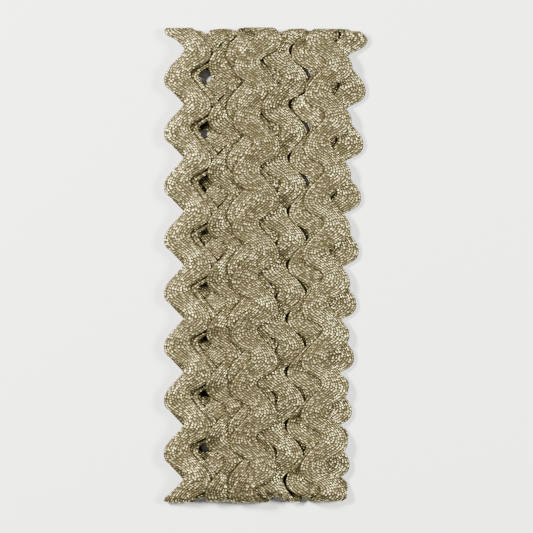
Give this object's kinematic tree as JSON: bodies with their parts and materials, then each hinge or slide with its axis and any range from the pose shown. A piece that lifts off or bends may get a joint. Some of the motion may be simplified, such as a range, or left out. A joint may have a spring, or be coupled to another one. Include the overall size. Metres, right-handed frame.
{
  "type": "flat hank of ric rac trim",
  "caption": "Flat hank of metallic gold ric rac, a wavy woven braid wound lengthwise over itself for sewing and trimming.",
  "frame": {"origin": "centre of the box's foot, on the surface the hank lies on", "axes": "+Y along the runs of the trim to the fold line shown at the top, +Z out of the front face"},
  "size_m": [0.0544, 0.1268, 0.006],
  "materials": {
    "trim": "metallic braid, matt sparkle"
  },
  "bodies": {
    "root": {"hank": "trim"}
  },
  "joints": []
}
